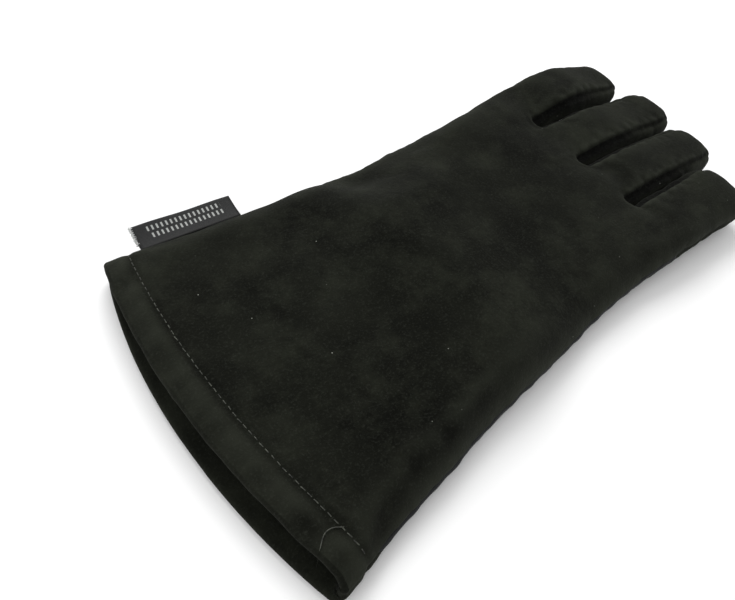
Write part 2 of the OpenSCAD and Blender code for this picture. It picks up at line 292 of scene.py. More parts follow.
rows_of_loop = ([(c, 0) for c in range(top_columns + 1)]
                + [(top_columns, r) for r in range(1, down_side)]
                + [(c, down_side) for c in range(top_columns, -1, -1)]
                + [(0, r) for r in range(down_side - 1, 0, -1)])
loop_size = len(rows_of_loop)
stations = list(np.linspace(mouth_x, knuckle_x, 58))
grid = [[add_point(shell_point(x, c, r)) for c, r in rows_of_loop] for x in stations]
loop_index = {cr: k for k, cr in enumerate(rows_of_loop)}
for t in range(len(stations) - 1):
    middle = (stations[t] + stations[t + 1]) / 2
    palm_panel = CUFF_PALM if middle < mouth_x + 64 else BAND if middle < wrist_x else PALM
    for k in range(loop_size):
        n = (k + 1) % loop_size
        on_back = rows_of_loop[k][1] + rows_of_loop[n][1] < down_side
        add_quad((grid[t][k], grid[t + 1][k], grid[t + 1][n], grid[t][n]),
                 BACK if on_back else palm_panel, GAUNTLET)
mouth_loop = grid[0]
knuckle_loop = grid[-1]

side_rows = {}
for i in range(4):
    for side in (-1, 1):
        column = i * per_finger + (0 if side < 0 else across_finger)
        ids = [knuckle_loop[loop_index[(column, 0)]]]
        for r in range(1, down_side):
            on_outer_side = (i, side) in ((0, -1), (3, 1))
            if on_outer_side:
                ids.append(knuckle_loop[loop_index[(column, r)]])
            else:
                s, h = finger_local(i, side, 0, 1 - 2 * r / down_side, knuckle_x)
                ids.append(add_point(section_place(knuckle_x, s, h)))
        ids.append(knuckle_loop[loop_index[(column, down_side)]])
        side_rows[i, side] = ids
for i in range(3):
    column = i * per_finger + across_finger + 1
    middle = [knuckle_loop[loop_index[(column, 0)]]]
    for r in range(1, down_side):
        middle.append(add_point(section_place(knuckle_x - 3, finger_pitch * (i + 1),
                                              hand_h / 2 + (1 - 2 * r / down_side) * 7)))
    middle.append(knuckle_loop[loop_index[(column, down_side)]])
    strips = [side_rows[i, 1], middle, side_rows[i + 1, -1]]
    for j in range(2):
        for r in range(down_side):
            add_quad((strips[j][r], strips[j][r + 1], strips[j + 1][r + 1], strips[j + 1][r]),
                     GUSSET, GAUNTLET)

finger_loop = ([(-1 + 2 * k / across_finger, 1) for k in range(across_finger + 1)]
               + [(1, 1 - 2 * r / down_side) for r in range(1, down_side)]
               + [(1 - 2 * k / across_finger, -1) for k in range(across_finger + 1)]
               + [(-1, -1 + 2 * r / down_side) for r in range(1, down_side)])
finger_bends = {}
for i, name in enumerate(FINGERS):
    tip_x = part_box(name + "_tip_back")[1].x / MM - tip_short[i]
    bend_x = joints[name + "_middle_joint"][0]
    body_end = tip_x - tip_len
    root_x = bend_x - finger_fold
    lengths = list(np.linspace(knuckle_x, root_x, 2 + round((root_x - knuckle_x) / 4.6))[1:])
    lengths += list(np.linspace(root_x, body_end, 1 + round((body_end - root_x) / 4.6))[1:])
    finger_bends[name] = bend_x
    top = [knuckle_loop[loop_index[(i * per_finger + k, 0)]] for k in range(across_finger + 1)]
    palm = [knuckle_loop[loop_index[(i * per_finger + k, down_side)]]
            for k in range(across_finger, -1, -1)]
    last = top + side_rows[i, 1][1:-1] + palm + side_rows[i, -1][1:-1][::-1]
    sections = [(x, 0) for x in lengths] + [(body_end, b) for b in (0.25, 0.5, 0.75, 1.0)]
    for x, b in sections:
        ring = []
        for a, c in finger_loop:
            pb = rounded(a, b, c, tip_power)[1]
            s, h = finger_local(i, a, b, c, x)
            ring.append(add_point(section_place(x + tip_len * pb, s, h)))
        zone = 1 + 2 * i + (1 if x > root_x + 0.1 else 0)
        for k in range(len(finger_loop)):
            n = (k + 1) % len(finger_loop)
            a0, c0 = finger_loop[k]
            a1, c1 = finger_loop[n]
            if c0 == c1:
                panel = BACK if c0 > 0 else PALM
            elif (i == 0 and a0 < 0) or (i == 3 and a0 > 0):
                panel = BACK if c0 + c1 > 0 else PALM
            else:
                panel = GUSSET
            add_quad((last[k], ring[k], ring[n], last[n]), panel, zone)
        last = ring
    cap = {}
    for k in range(across_finger + 1):
        for r in range(down_side + 1):
            a, c = -1 + 2 * k / across_finger, 1 - 2 * r / down_side
            if (a, c) in finger_loop:
                cap[k, r] = last[finger_loop.index((a, c))]
            else:
                pb = rounded(a, 1, c, tip_power)[1]
                s, h = finger_local(i, a, 1, c, body_end)
                cap[k, r] = add_point(section_place(body_end + tip_len * pb, s, h))
    for k in range(across_finger):
        for r in range(down_side):
            add_quad((cap[k, r], cap[k, r + 1], cap[k + 1, r + 1], cap[k + 1, r]),
                     BACK if r < down_side / 2 else PALM, 2 + 2 * i)


def mesh_object(name, points, faces):
    """A new piece from points in millimetres."""
    mesh = bpy.data.meshes.new(name)
    mesh.from_pydata([tuple(v * MM for v in p) for p in points], [], faces)
    mesh.update()
    piece = bpy.data.objects.new(name, mesh)
    bpy.context.scene.collection.objects.link(piece)
    return piece


def make_active(piece):
    bpy.ops.object.select_all(action="DESELECT")
    piece.select_set(True)
    bpy.context.view_layer.objects.active = piece


def coordinates(mesh):
    co = np.empty(len(mesh.vertices) * 3)
    mesh.vertices.foreach_get("co", co)
    return co.reshape(-1, 3)


def face_outwards(piece):
    make_active(piece)
    bpy.ops.object.mode_set(mode="EDIT")
    bpy.ops.mesh.select_all(action="SELECT")
    bpy.ops.mesh.normals_make_consistent(inside=False)
    bpy.ops.object.mode_set(mode="OBJECT")


def smoothed(piece):
    """Subdivide a skin twice: its points in millimetres, its quads, and each face's tags."""
    make_active(piece)
    smooth = piece.modifiers.new("Subdivision", "SUBSURF")
    smooth.levels = smooth.render_levels = 2
    bpy.ops.object.modifier_apply(modifier="Subdivision")
    faces = np.array([f.vertices[:] for f in piece.data.polygons])
    tags = [np.empty(len(faces), int) for _ in range(2)]
    for word, values in zip(("panel", "zone"), tags):
        piece.data.attributes[word].data.foreach_get("value", values)
    return coordinates(piece.data) / MM, faces, *tags


shell = mesh_object("shell", points, quads)

# The leather is filled and relaxed as cloth, its mouth held, so that it lies soft and uneven.
lid = []
for c in range(top_columns):
    corners = ((c, 0), (c + 1, 0), (c + 1, down_side), (c, down_side))
    lid.append(tuple(mouth_loop[loop_index[corner]] for corner in corners))
pillow = mesh_object("pillow", points, quads + lid)
make_active(pillow)
held = pillow.vertex_groups.new(name="held")
held.add(mouth_loop, 1.0, "REPLACE")
cloth = pillow.modifiers.new("Cloth", "CLOTH")
cloth.settings.quality = 6
cloth.settings.tension_stiffness = 12
cloth.settings.compression_stiffness = 8
cloth.settings.bending_stiffness = 1.2
cloth.settings.use_pressure = True
cloth.settings.uniform_pressure_force = 3
cloth.settings.shrink_min = -0.025
cloth.settings.effector_weights.gravity = 0
cloth.settings.vertex_group_mass = "held"
cloth.collision_settings.use_collision = False
for step in range(1, 21):
    bpy.context.scene.frame_set(step)
bpy.ops.object.modifier_apply(modifier="Cloth")
before, after = coordinates(shell.data), coordinates(pillow.data)
shift = after - before
far_moved = np.linalg.norm(shift, axis=1)
limit = 0.0028
shift *= (limit * np.tanh(far_moved / limit) / np.maximum(far_moved, 1e-9))[:, None]
relaxed = before + shift
relaxed[:, 2] = np.maximum(relaxed[:, 2], 0.0)
shell.data.vertices.foreach_set("co", relaxed.ravel())
bpy.data.objects.remove(pillow)
bpy.context.scene.frame_set(1)

for name, values in (("panel", panels), ("zone", zones)):
    shell.data.attributes.new(name, "INT", "FACE").data.foreach_set("value", values)
station_of = [p[0] for p in points]
for x, ring in zip(stations, grid):
    for k in ring:
        station_of[k] = x
shell.data.attributes.new("station", "FLOAT", "POINT").data.foreach_set("value", station_of)
skin, skin_quads, panel_of, zone_of = smoothed(shell)
station = np.empty(len(skin))
shell.data.attributes["station"].data.foreach_get("value", station)
bpy.data.objects.remove(shell)


def vertex_normals(co, faces):
    normal = np.cross(co[faces[:, 2]] - co[faces[:, 0]], co[faces[:, 3]] - co[faces[:, 1]])
    total = np.zeros_like(co)
    for k in range(4):
        np.add.at(total, faces[:, k], normal)
    return total / np.maximum(np.linalg.norm(total, axis=1), 1e-12)[:, None]


def near_to(targets, co, reach):
    """For each point of co, its distance to the nearest target point, up to reach."""
    tree = kdtree.KDTree(len(targets))
    for k, p in enumerate(targets):
        tree.insert(p, k)
    tree.balance()
    return np.array([min(tree.find(p)[2], reach) for p in co])


def edges_between(co, faces, tag):
    """Vertices of co shared by faces with different tags."""
    low, high = np.full(len(co), 99), np.full(len(co), -1)
    for k in range(4):
        np.minimum.at(low, faces[:, k], tag)
        np.maximum.at(high, faces[:, k], tag)
    return (low != high) & (high >= 0)


# Seams sink between two puffed panels and pucker a little.
seam_points = edges_between(skin, skin_quads, panel_of)
seam_far = near_to(skin[seam_points], skin, 14.0)
normals = vertex_normals(skin, skin_quads)
lumps = np.array([noise.noise(Vector(p) / 34)
                  + 0.5 * noise.noise(Vector(p) / 15 + Vector((9, 3, 5))) for p in skin])
pucker = np.array([noise.noise(Vector((p[0] / 5, p[1] / 5, p[2] / 9 + 40))) for p in skin])
along = station - mouth_x
offset = lumps * 1.0 * np.clip(along / 40, 0.25, 1)
offset += pucker * 0.55 * np.exp(-((seam_far - 4) / 4) ** 2)
offset -= 1.3 * np.exp(-(seam_far / 1.6) ** 2)
hem_seam = 11.5
offset -= 0.6 * np.exp(-((along - hem_seam) / 1.8) ** 2) * (seam_far > 0)
offset += 0.35 * np.clip(1 - np.abs(along - 8) / 8, 0, 1)
# The long finger seams stand open on the back: a deep slit along the top of each gusset.
finger_gusset = skin_quads[(panel_of == GUSSET) & (zone_of >= 1) & (zone_of <= 8)]
finger_back = skin_quads[(panel_of == BACK) & (zone_of >= 1) & (zone_of <= 8)]
in_gusset, by_back = np.zeros(len(skin), bool), np.zeros(len(skin), bool)
in_gusset[finger_gusset.ravel()] = True
by_back[finger_back.ravel()] = True
top_far = near_to(skin[in_gusset & by_back], skin, 20.0)
slit = in_gusset * (1 - np.clip((station - knuckle_x - 42) / 26, 0, 1))
offset -= 1.8 * slit * np.exp(-((top_far - 2.2) / 2.0) ** 2)
offset += 0.45 * pucker * by_back * np.exp(-((top_far - 1.5) / 2.5) ** 2) * (station > knuckle_x)
skin = skin + normals * offset[:, None]
skin[:, 2] = np.maximum(skin[:, 2], 0.05)
normals = vertex_normals(skin, skin_quads)

# Raised places rub pale, which is wear; hollows and the closed finger slits get painted shade, a darker
# colour standing in for the shade that falls there.
neighbours, count = np.zeros_like(skin), np.zeros(len(skin))
for a, b in ((0, 1), (1, 2), (2, 3), (3, 0)):
    for p, q in ((a, b), (b, a)):
        np.add.at(neighbours, skin_quads[:, p], skin[skin_quads[:, q]])
        np.add.at(count, skin_quads[:, p], 1)
bulge = ((skin - neighbours / count[:, None]) * normals).sum(1)
for _ in range(6):
    spread, count = np.zeros(len(skin)), np.zeros(len(skin))
    for k in range(4):
        np.add.at(spread, skin_quads[:, k], bulge[skin_quads].mean(1))
        np.add.at(count, skin_quads[:, k], 1)
    bulge = spread / count
wear_and_shade = np.clip(bulge / 0.06, -1, 1)
wear_and_shade += 0.28 * np.clip((hem_seam + 1 - along) / 3, 0, 1)
# Painted shade: the closed slits between the fingers are given near-black colour where shade falls.
painted_slit_shade = slit * (1 - np.clip((top_far - 4.5) / 3, 0, 1))
wear_and_shade = np.clip(wear_and_shade * (1 - painted_slit_shade) - 1.6 * painted_slit_shade, -1.6, 1)


def keep_place(piece, rest, wear_and_shade_at=None):
    """Store where each point lies at rest, in metres, and its wear and painted shade."""
    attributes = piece.data.attributes
    attributes.new("rest", "FLOAT_VECTOR", "POINT").data.foreach_set("vector", rest.ravel())
    if wear_and_shade_at is not None:
        attributes.new("wear_and_shade", "FLOAT", "POINT").data.foreach_set("value", wear_and_shade_at)


def leather_piece(name, faces, thick, finish, co=skin, facing=normals, wear_and_shade_at=wear_and_shade):
    """A panel of leather: the chosen faces outside, the same pulled in by thick, and a rim."""
    used = np.unique(faces)
    new = np.full(len(co), -1)
    new[used] = np.arange(len(used))
    outer = new[faces]
    inner = outer[:, ::-1] + len(used)
    edge_count = {}
    for face in outer:
        for k in range(4):
            a, b = int(face[k]), int(face[(k + 1) % 4])
            edge_count[(a, b)] = edge_count.get((a, b), 0) + 1
    rim = [(b, a, a + len(used), b + len(used)) for a, b in edge_count
           if (b, a) not in edge_count]
    verts = np.concatenate([co[used], co[used] - facing[used] * thick])
    faces_all = [tuple(int(v) for v in f) for f in np.concatenate([outer, inner])] + rim
    piece = mesh_object(name, verts, faces_all)
    mesh = piece.data
    mesh.shade_smooth()
    both = np.concatenate([facing[used], -facing[used]])
    loop_normals = np.zeros((len(mesh.loops), 3))
    at = 0
    flat = [tuple(p.normal) for p in mesh.polygons]
    n_outer = 2 * len(outer)
    for k, face in enumerate(faces_all):
        for v in face:
            loop_normals[at] = both[v] if k < n_outer else flat[k]
            at += 1
    mesh.normals_split_custom_set(loop_normals)
    keep_place(piece, np.concatenate([co[used], co[used]]) * MM,
               np.concatenate([wear_and_shade_at[used], wear_and_shade_at[used]]))
    mesh.materials.append(finish)
    return piece


# ---- Suede ----
# Chrome-tanned split cowhide with the nap out, dyed near-black: cloudy, brushed and a
# little dusty, paler where it rubs, with painted shade in its hollows and finger slits. All of the shell
# except the wrist band is this leather.

def dress(name, on_cad_node=False):
    """A new finish: its node tree, its shader and its place on the hide at rest."""
    material = bpy.data.materials.new(name)
    material.use_nodes = True
    tree = material.node_tree
    if on_cad_node:
        place = tree.nodes.new("ShaderNodeTexCoord").outputs["Object"]
    else:
        at_rest = tree.nodes.new("ShaderNodeAttribute")
        at_rest.attribute_name = "rest"
        place = at_rest.outputs["Vector"]
    return material, tree, tree.nodes["Principled BSDF"], place


def feed(tree, socket, value):
    """Link value to the socket, or set it there if it is a plain number or colour."""
    if isinstance(value, bpy.types.NodeSocket):
        tree.links.new(value, socket)
    else:
        socket.default_value = value


def cloud(tree, place, scale, detail, rough):
    made = tree.nodes.new("ShaderNodeTexNoise")
    for word, value in (("Vector", place), ("Scale", scale), ("Detail", detail),
                        ("Roughness", rough)):
        feed(tree, made.inputs[word], value)
    return made.outputs["Fac"]


def remap(tree, value, low, high, to_low=0.0, to_high=1.0):
    made = tree.nodes.new("ShaderNodeMapRange")
    for word, number in (("Value", value), ("From Min", low), ("From Max", high),
                         ("To Min", to_low), ("To Max", to_high)):
        feed(tree, made.inputs[word], number)
    return made.outputs["Result"]


def blended(tree, amount, first, second):
    made = tree.nodes.new("ShaderNodeMix")
    made.data_type = "RGBA"
    for key, value in ((0, amount), (6, first), (7, second)):
        feed(tree, made.inputs[key], value)
    return made.outputs[2]


def sum_of(tree, first, second, how="ADD"):
    made = tree.nodes.new("ShaderNodeMath")
    made.operation = how
    for key, value in enumerate((first, second)):
        feed(tree, made.inputs[key], value)
    return made.outputs[0]


def effect(name, numbers, colours, outputs):
    """An empty node group with named inputs and outputs."""
    group = bpy.data.node_groups.new(name, "ShaderNodeTree")
    for words, kind in ((numbers, "NodeSocketFloat"), (colours, "NodeSocketColor")):
        for word in words:
            group.interface.new_socket(word, in_out="INPUT", socket_type=kind)
    for word, kind in outputs:
        group.interface.new_socket(word, in_out="OUTPUT", socket_type=kind)
    return (group, group.nodes.new("NodeGroupInput").outputs,
            group.nodes.new("NodeGroupOutput").inputs)


def applied(tree, group, **values):
    """Place an effect in a material with its own values; a name's _ stands for a space."""
    made = tree.nodes.new("ShaderNodeGroup")
    made.node_tree = group
    for word, value in values.items():
        feed(tree, made.inputs[word.replace("_", " ")], value)
    return made.outputs


def roughen(tree, shader, height, strength, distance):
    bump = tree.nodes.new("ShaderNodeBump")
    bump.inputs["Strength"].default_value = strength
    bump.inputs["Distance"].default_value = distance
    tree.links.new(height, bump.inputs["Height"])
    tree.links.new(bump.outputs["Normal"], shader.inputs["Normal"])
    return bump


# Uneven dye, scuffs and fibres: a cloud of a paler colour over a darker one.
mottling, given, gives = effect(
    "mottling", ("Scale", "Detail", "Roughness", "From", "To", "Share"), ("Dark", "Pale"),
    (("Colour", "NodeSocketColor"), ("Cloud", "NodeSocketFloat")))
mottling.interface.new_socket("Place", in_out="INPUT", socket_type="NodeSocketVector")
drift = cloud(mottling, given["Place"], given["Scale"], given["Detail"], given["Roughness"])
share = sum_of(mottling, remap(mottling, drift, given["From"], given["To"]), given["Share"],
               "MULTIPLY")
mottling.links.new(blended(mottling, share, given["Dark"], given["Pale"]), gives["Colour"])
mottling.links.new(drift, gives["Cloud"])

# Wear and painted shade: raised places rub pale, and hollows are painted near-black as shade.
wear_and_shading, given, gives = effect(
    "wear_and_shading", ("Pale From", "Pale Share", "Dark Share"), ("Colour", "Pale", "Dark"),
    (("Colour", "NodeSocketColor"),))
wear_and_shade_reader = wear_and_shading.nodes.new("ShaderNodeAttribute")
wear_and_shade_reader.attribute_name = "wear_and_shade"
colour = blended(wear_and_shading, remap(wear_and_shading, wear_and_shade_reader.outputs["Fac"], given["Pale From"], 1.0, 0.0,
                                given["Pale Share"]), given["Colour"], given["Pale"])
# Painted shade: below zero the colour goes towards near-black, in hollows, sunken seams and finger slits.
colour = blended(wear_and_shading, remap(wear_and_shading, wear_and_shade_reader.outputs["Fac"], -0.05, -1.5, 0.0,
                                given["Dark Share"]), colour, given["Dark"])
wear_and_shading.links.new(colour, gives["Colour"])

suede, tree, shader, place = dress("black_suede")
colour = applied(tree, mottling, Place=place, Scale=24, Detail=4, Roughness=0.6, From=0.36,
                 To=0.66, Share=1.0, Dark=(0.0022, 0.0024, 0.0016, 1),
                 Pale=(0.0066, 0.0072, 0.0050, 1))["Colour"]
colour = applied(tree, mottling, Place=place, Scale=38, Detail=6, Roughness=0.72, From=0.46,
                 To=0.76, Share=0.7, Dark=colour, Pale=(0.018, 0.020, 0.0138, 1))["Colour"]
# Pale where raised places rub (wear); near-black painted shade in hollows, sunken seams and the slits
# between the fingers.
colour = applied(tree, wear_and_shading, Colour=colour, Pale=(0.021, 0.023, 0.017, 1), Pale_From=0.05,
                 Pale_Share=0.8, Dark=(0.0004, 0.0004, 0.0004, 1), Dark_Share=1.0)["Colour"]
nap = applied(tree, mottling, Place=place, Scale=900, Detail=3, Roughness=0.7, From=0.52, To=0.80,
              Share=0.4, Dark=colour, Pale=(0.034, 0.037, 0.030, 1))
dots = tree.nodes.new("ShaderNodeTexVoronoi")
dots.inputs["Scale"].default_value = 130
tree.links.new(place, dots.inputs["Vector"])
lint = remap(tree, dots.outputs["Distance"], 0.05, 0.02)
few = remap(tree, cloud(tree, place, 260, 1, 0.5), 0.57, 0.60)
colour = blended(tree, sum_of(tree, lint, few, "MULTIPLY"), nap["Colour"], (0.22, 0.23, 0.20, 1))
tree.links.new(colour, shader.inputs["Base Color"])
shader.inputs["Roughness"].default_value = 0.95
shader.inputs["Specular IOR Level"].default_value = 0.05
shader.inputs["Sheen Weight"].default_value = 0.035
shader.inputs["Sheen Roughness"].default_value = 0.55
shader.inputs["Sheen Tint"].default_value = (0.75, 0.78, 0.68, 1)
height = sum_of(tree, sum_of(tree, nap["Cloud"], 0.6, "MULTIPLY"), cloud(tree, place, 300, 4, 0.6))
roughen(tree, shader, height, 0.7, 0.0006)

# ---- Back and palm of the gauntlet ----
# One suede panel covers the back of the cuff and hand; two more make the palm side, sewn to
# the wrist band between them. Small webs close the crotches between the fingers.

LEATHER_T = 1.8
bend_from = (wrist_x - 20) * MM, 0, 0.012
bend_to = (wrist_x + 12) * MM, 0, 0.012


def gauntlet_piece(name, choose, *nodes, slot="suede", finish=None, thick=LEATHER_T):
    piece = leather_piece(name, skin_quads[choose], thick, finish or suede)
    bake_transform(piece, "cuff", "hand", bend_from, bend_to)
    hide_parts(*nodes)
    return piece


in_gauntlet = zone_of == GAUNTLET
middle_x = station[skin_quads].mean(1)
gauntlet_piece("gauntlet_back", in_gauntlet & (panel_of == BACK),
               "cuff_back_panel", "hand_back_panel")
gauntlet_piece("cuff_palm", panel_of == CUFF_PALM, "cuff_palm_panel")
gauntlet_piece("hand_palm", in_gauntlet & (panel_of == PALM), "hand_palm_panel")
gauntlet_piece("finger_webs", in_gauntlet & (panel_of == GUSSET), "finger_crotch_webs")

# ---- Wrist band ----
# A band of smooth grain leather let into the palm side of the cuff, next to the wrist,
# sewn along both edges to the suede.


def smooth_leather(name, on_cad_node=False):
    leather, tree, shader, place = dress(name, on_cad_node)
    colour = applied(tree, mottling, Place=place, Scale=30, Detail=4, Roughness=0.6, From=0.35,
                     To=0.68, Share=1.0, Dark=(0.0050, 0.0055, 0.0062, 1),
                     Pale=(0.0100, 0.0108, 0.0122, 1))["Colour"]
    colour = applied(tree, wear_and_shading, Colour=colour, Pale=(0.030, 0.032, 0.035, 1), Pale_From=0.1,
                     Pale_Share=0.6, Dark=(0, 0, 0, 1), Dark_Share=0.0)["Colour"]
    tree.links.new(colour, shader.inputs["Base Color"])
    cells = tree.nodes.new("ShaderNodeTexVoronoi")
    cells.feature = "DISTANCE_TO_EDGE"
    cells.inputs["Scale"].default_value = 850
    tree.links.new(place, cells.inputs["Vector"])
    tree.links.new(remap(tree, cloud(tree, place, 60, 4, 0.6), 0.3, 0.7, 0.42, 0.62),
                   shader.inputs["Roughness"])
    shader.inputs["Specular IOR Level"].default_value = 0.3
    roughen(tree, shader, remap(tree, cells.outputs["Distance"], 0.0, 0.18), 0.35, 0.0003)
    return leather


grain_leather = smooth_leather("smooth_grain_leather")
gauntlet_piece("wrist_band", panel_of == BAND, "wrist_palm_band", slot="smooth_leather",
               finish=grain_leather, thick=1.4)

# ---- Side welts ----
# A narrow strip of smooth leather caught in each side seam of the gauntlet, so that only
# its folded edge shows between the back and the palm.


def directed_edges(faces):
    return {(int(face[k]), int(face[(k + 1) % 4])): True for face in faces for k in range(4)}


back_edges = directed_edges(skin_quads[in_gauntlet & (panel_of == BACK)])
palm_edges = directed_edges(skin_quads[in_gauntlet & np.isin(panel_of, (PALM, CUFF_PALM, BAND))])
seam_edges = {a: b for a, b in back_edges if (b, a) in palm_edges}
starts = [a for a in seam_edges if a not in set(seam_edges.values())]
for a in starts:
    line = [a]
    while line[-1] in seam_edges:
        line.append(seam_edges[line[-1]])
    line = np.array(line)
    near = skin[line, 1].mean() < 0
    keep = (station[line] > mouth_x + 18) & (station[line] < knuckle_x - 1)
    if not near:
        keep &= station[line] > mouth_x + 84
    line = line[keep]
    if station[line[0]] > station[line[-1]]:
        line = line[::-1]
    middle, out = skin[line], normals[line]
    forward = np.gradient(middle, axis=0)
    forward /= np.linalg.norm(forward, axis=1)[:, None]
    out = out - (out * forward).sum(1)[:, None] * forward
    out /= np.linalg.norm(out, axis=1)[:, None]
    lift = np.cross(forward, out)
    ends = np.minimum(np.arange(len(line)), np.arange(len(line))[::-1])
    size = np.clip(ends / 3, 0.15, 1)[:, None]
    ring = []
    for u, v in ((-1.5, -0.8), (0.4, -0.9), (1.2, -0.45), (1.45, 0), (1.2, 0.45), (0.4, 0.9),
                 (-1.5, 0.8)):
        wave = 0.18 * np.sin(middle[:, :1] / 2.3 + v)
        ring.append(middle + out * (u * size + wave * (u > 0)) + lift * v * size)
    count, around = len(line), len(ring)
    verts = np.concatenate(ring)
    faces = [(r * count + k, r * count + k + 1, ((r + 1) % around) * count + k + 1,
              ((r + 1) % around) * count + k) for r in range(around) for k in range(count - 1)]
    faces += [tuple(r * count for r in range(around))[::-1],
              tuple(r * count + count - 1 for r in range(around))]
    name = "near_side_welt" if near else "far_side_welt"
    welt = mesh_object(name, verts, faces)
    face_outwards(welt)
    bpy.ops.object.shade_smooth()
    keep_place(welt, coordinates(welt.data))
    welt.data.materials.append(grain_leather)
    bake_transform(welt, "cuff", "hand", bend_from, bend_to)
    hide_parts("cuff_side_welts", "hand_side_welts")

hole_welt = frame["nodes"]["thumb_hole_welt"]
hole_welt.data.materials.clear()
hole_welt.data.materials.append(smooth_leather("hole_welt_leather", on_cad_node=True))

# ---- Fingers ----
# Each finger is the end of the back panel and of the palm panel, joined by fourchettes: long
# suede strips that make its side walls. They bend at the knuckle and at the middle joint.

FINGER_T = 1.6


def finger_parts():
    """Each finger's base and tip: name, part, zone of the skin, bodies, and where it bends."""
    for i, name in enumerate(FINGERS):
        bend_x = finger_bends[name]
        yield (name, "base", 1 + 2 * i, ("hand", name + "_base"),
               (knuckle_x, knuckle_x + knuckle_reach))
        yield (name, "tip", 2 + 2 * i, (name + "_base", name + "_tip"),
               (bend_x - finger_fold, bend_x + finger_fold))


def bend_finger(piece, bodies, bend):
    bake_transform(piece, *bodies, *((x * MM, 0, 0.02) for x in bend))


for name, part, zone, bodies, bend in finger_parts():
    gusset = "fourchette" if name in ("index", "little") else "fourchettes"
    for panel, words in ((BACK, "back"), (PALM, "palm"), (GUSSET, gusset)):
        faces = skin_quads[(zone_of == zone) & (panel_of == panel)]
        piece = leather_piece(f"{name}_{part}_{words}_leather", faces, FINGER_T, suede)
        bend_finger(piece, bodies, bend)
        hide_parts(f"{name}_{part}_{words}")

# ---- Thumb ----
# A separate stall of two suede panels sewn round its edge, set into the palm and folded
# flat under it. It turns about its round root and bends at its own joint.

THUMB_T = 1.4
thumb_half_w, thumb_half_h = 18.6, 6.6
thumb_root_len, thumb_tip_len = 18.0, 17.0
thumb_from_near, thumb_below = 120.0, 7.2
thumb_root_x, curl_x = joints["thumb_swing"][0], joints["thumb_curl"][0]
thumb_fold = 9.0
thumb_tip_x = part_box("thumb_tip_back")[1].x / MM
thumb_columns, thumb_rows = 8, 4


def thumb_point(a, b, c, x):
    """b runs from -1 at the closed root to 0 along the stall and 1 at its tip."""
    pa, pb, pc = rounded(a, b, c, 2.4)
    fat = 1 - 0.12 * ease((x - thumb_root_x - 10) / 40)
    length = thumb_root_len if b < 0 else thumb_tip_len
    h = -thumb_below + thumb_half_h * pc * (1 - 0.1 * ease((x - curl_x) / 30))
    return section_place(x + length * pb, thumb_from_near + thumb_half_w * fat * pa, h)


thumb_points, thumb_quads, thumb_panel, thumb_zone = [], [], [], []
thumb_ring = ([(-1 + 2 * k / thumb_columns, 1) for k in range(thumb_columns + 1)]
              + [(1, 1 - 2 * r / thumb_rows) for r in range(1, thumb_rows)]
              + [(1 - 2 * k / thumb_columns, -1) for k in range(thumb_columns + 1)]
              + [(-1, -1 + 2 * r / thumb_rows) for r in range(1, thumb_rows)])
thumb_split = curl_x - thumb_fold
body_start, body_end = thumb_root_x, thumb_tip_x - thumb_tip_len
thumb_sections = [(body_start, b) for b in (-1.0, -0.75, -0.5, -0.25)]
thumb_sections += [(x, 0) for x in np.linspace(body_start, thumb_split, 7)]
thumb_sections += [(x, 0) for x in np.linspace(thumb_split, body_end, 6)[1:]]
thumb_sections += [(body_end, b) for b in (0.25, 0.5, 0.75, 1.0)]
last = None
for x, b in thumb_sections:
    ring = []
    for a, c in thumb_ring:
        thumb_points.append(thumb_point(a, b, c, x))
        ring.append(len(thumb_points) - 1)
    if last:
        for k in range(len(thumb_ring)):
            n = (k + 1) % len(thumb_ring)
            thumb_quads.append((last[k], ring[k], ring[n], last[n]))
            thumb_panel.append(BACK if thumb_ring[k][1] + thumb_ring[n][1] > 0 else PALM)
            thumb_zone.append(1 if x > thumb_split + 0.1 else 0)
    last = ring
for b, x, ring_at, facing in ((-1, body_start, 0, -1),
                              (1, body_end, len(thumb_points) - len(thumb_ring), 1)):
    cap = {}
    for k in range(thumb_columns + 1):
        for r in range(thumb_rows + 1):
            a, c = -1 + 2 * k / thumb_columns, 1 - 2 * r / thumb_rows
            if (a, c) in thumb_ring:
                cap[k, r] = ring_at + thumb_ring.index((a, c))
            else:
                thumb_points.append(thumb_point(a, b, c, x))
                cap[k, r] = len(thumb_points) - 1
    for k in range(thumb_columns):
        for r in range(thumb_rows):
            corners = (cap[k, r], cap[k, r + 1], cap[k + 1, r + 1], cap[k + 1, r])
            thumb_quads.append(corners if facing > 0 else corners[::-1])
            thumb_panel.append(BACK if r < thumb_rows / 2 else PALM)
            thumb_zone.append(1 if facing > 0 else 0)
stall = mesh_object("stall", thumb_points, thumb_quads)
for word, values in (("panel", thumb_panel), ("zone", thumb_zone)):
    stall.data.attributes.new(word, "INT", "FACE").data.foreach_set("value", values)
stall_skin, stall_quads, stall_panel, stall_zone = smoothed(stall)
bpy.data.objects.remove(stall)
stall_far = near_to(stall_skin[edges_between(stall_skin, stall_quads, stall_panel)],
                    stall_skin, 14.0)
stall_normals = vertex_normals(stall_skin, stall_quads)
folds = np.array([noise.noise(Vector((p[0] / 40, p[1] / 9, 3.0))) for p in stall_skin])
wrinkles = np.array([noise.noise(Vector((p[0] / 5, p[1] / 5, p[2] / 6))) for p in stall_skin])
stall_skin = stall_skin + stall_normals * (
    0.8 * folds * np.clip(stall_far / 5, 0, 1)
    + 0.5 * wrinkles * np.exp(-((stall_far - 3) / 3) ** 2)
    - 1.1 * np.exp(-(stall_far / 1.5) ** 2))[:, None]
stall_skin[:, 2] = np.maximum(stall_skin[:, 2], 0.1)
stall_normals = vertex_normals(stall_skin, stall_quads)
# Paler at the thumb's tip where it rubs (wear), and painted shade along the sunken seams.
stall_wear_and_shade = 0.6 * np.exp(-(((stall_skin[:, 0] - thumb_tip_x) / 14) ** 2)) - 0.8 * np.exp(
    -(stall_far / 2) ** 2)


